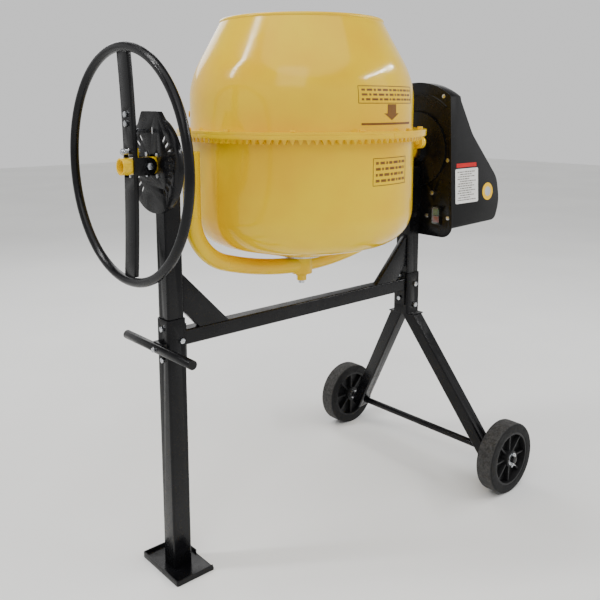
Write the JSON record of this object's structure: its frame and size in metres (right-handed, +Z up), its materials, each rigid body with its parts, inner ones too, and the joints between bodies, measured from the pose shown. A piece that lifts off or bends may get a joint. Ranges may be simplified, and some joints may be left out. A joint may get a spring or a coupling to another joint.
{
  "type": "concrete mixer",
  "caption": "Electric tilting-drum concrete mixer on a tubular stand with transport wheels, a tilt handwheel and a motor housing.",
  "frame": {"origin": "on the floor, under the middle of the machine's overall length and width", "axes": "+X along the tilt axis from the handwheel to the motor, -Y the front where the switch is, +Z up out of the drum's mouth"},
  "size_m": [1.239, 0.73, 1.3439],
  "materials": {
    "yellow_enamel": "glossy baked yellow enamel on sheet steel",
    "black_enamel": "semi-gloss black enamel on steel tube",
    "zinc_steel": "bright zinc-plated fasteners and shafts",
    "gear_iron": "greased cast iron teeth",
    "bush_bronze": "sintered bronze, oiled",
    "pulley_aluminium": "die cast aluminium",
    "motor_aluminium": "finned die cast aluminium",
    "housing_plastic": "satin moulded black plastic",
    "pale_plastic": "pale capacitor can",
    "wheel_plastic": "moulded wheel disc",
    "tyre": "solid rubber tyre",
    "black_rubber": "soft black rubber",
    "red_plastic": "red push button",
    "green_plastic": "green push button",
    "clear_plastic": "clear rain hood over the buttons"
  },
  "bodies": {
    "stand": {"left_post": "black_enamel", "lower_leg": "black_enamel", "foot_plate": "black_enamel", "transport_handle": "black_enamel", "handle_plugs": "black_rubber", "handle_bracket": "black_enamel", "cross_beam": "black_enamel", "left_brace": "black_enamel", "right_brace": "black_enamel", "drive_post": "black_enamel", "wheel_frame_socket": "black_enamel", "front_wheel_leg": "black_enamel", "rear_wheel_leg": "black_enamel", "axle": "black_enamel", "axle_washers_and_pins": "zinc_steel", "stand_bolts": "zinc_steel", "index_plate": "black_enamel", "left_bearing_block": "black_enamel", "tilt_bushes": "bush_bronze", "trunnion_plate": "black_enamel", "housing_plate": "black_enamel", "housing_cover": "housing_plastic", "housing_screws": "zinc_steel", "motor_body": "motor_aluminium", "motor_end_shields": "motor_aluminium", "motor_fan_cover": "housing_plastic", "motor_mounts": "zinc_steel", "capacitor": "pale_plastic", "drive_belt": "black_rubber", "switch_box": "housing_plastic", "cable_gland": "housing_plastic"},
    "yoke": {"yoke": "yellow_enamel", "pinion_carrier": "yellow_enamel", "carrier_bolts": "yellow_enamel", "spindle_bearings": "zinc_steel", "pinion_bearings": "zinc_steel", "hinge_bolt": "zinc_steel", "lock_spring": "zinc_steel"},
    "drum": {"drum_bowl": "yellow_enamel", "drum_cone": "yellow_enamel", "ring_gear": "yellow_enamel", "drum_bolts": "yellow_enamel", "mixing_paddles": "yellow_enamel", "drum_spindle": "zinc_steel", "spindle_nut": "yellow_enamel"},
    "pinion": {"pinion_shaft": "zinc_steel", "drive_pinion": "gear_iron", "large_pulley": "pulley_aluminium"},
    "rotor": {"motor_rotor": "zinc_steel", "cooling_fan": "housing_plastic"},
    "handwheel": {"handwheel_rim": "black_enamel", "handwheel_spoke": "black_enamel", "lock_tooth": "zinc_steel"},
    "front_wheel": {"front_tyre": "tyre", "front_wheel_disc": "wheel_plastic"},
    "rear_wheel": {"rear_tyre": "tyre", "rear_wheel_disc": "wheel_plastic"},
    "stop_button": {"stop_button": "red_plastic"},
    "start_button": {"start_button": "green_plastic"},
    "switch_flap": {"switch_flap": "clear_plastic"}
  },
  "joints": [
    {"name": "drum_tilt", "type": "hinge", "parent": "stand", "child": "yoke", "pos_m": [0, 0, 0.998], "axis": [1, 0, 0], "range_deg": [-127.5, 127.5]},
    {"name": "drum_spin", "type": "hinge", "parent": "yoke", "child": "drum", "pos_m": [-0.0925, 0, 0.732], "axis": [0, 0, 1], "continuous": true},
    {"name": "pinion_spin", "type": "hinge", "parent": "yoke", "child": "pinion", "pos_m": [0, 0, 0.998], "axis": [1, 0, 0], "continuous": true},
    {"name": "motor_spin", "type": "hinge", "parent": "stand", "child": "rotor", "pos_m": [0, 0, 0.843], "axis": [1, 0, 0], "continuous": true},
    {"name": "handwheel_release", "type": "hinge", "parent": "yoke", "child": "handwheel", "pos_m": [-0.5625, 0, 0.998], "axis": [0, 1, 0], "range_deg": [0, 5.3]},
    {"name": "front_wheel_spin", "type": "hinge", "parent": "stand", "child": "front_wheel", "pos_m": [0.4185, -0.328, 0.105], "axis": [0, 1, 0], "continuous": true},
    {"name": "rear_wheel_spin", "type": "hinge", "parent": "stand", "child": "rear_wheel", "pos_m": [0.4185, 0.328, 0.105], "axis": [0, 1, 0], "continuous": true},
    {"name": "stop_press", "type": "slide", "parent": "stand", "child": "stop_button", "axis": [1, 0, 0], "range_m": [0, 0.0025], "stiffness_N_per_m": 400, "springref_m": -0.001},
    {"name": "start_press", "type": "slide", "parent": "stand", "child": "start_button", "axis": [1, 0, 0], "range_m": [0, 0.0025], "stiffness_N_per_m": 400, "springref_m": -0.001},
    {"name": "flap_lift", "type": "hinge", "parent": "stand", "child": "switch_flap", "pos_m": [0.3693, -0.085, 0.826], "axis": [0, 1, 0], "range_deg": [0, 100]}
  ],
  "couplings": [
    {"joint": "pinion_spin", "follows": "drum_spin", "ratio": -6},
    {"joint": "motor_spin", "follows": "drum_spin", "ratio": -48}
  ]
}
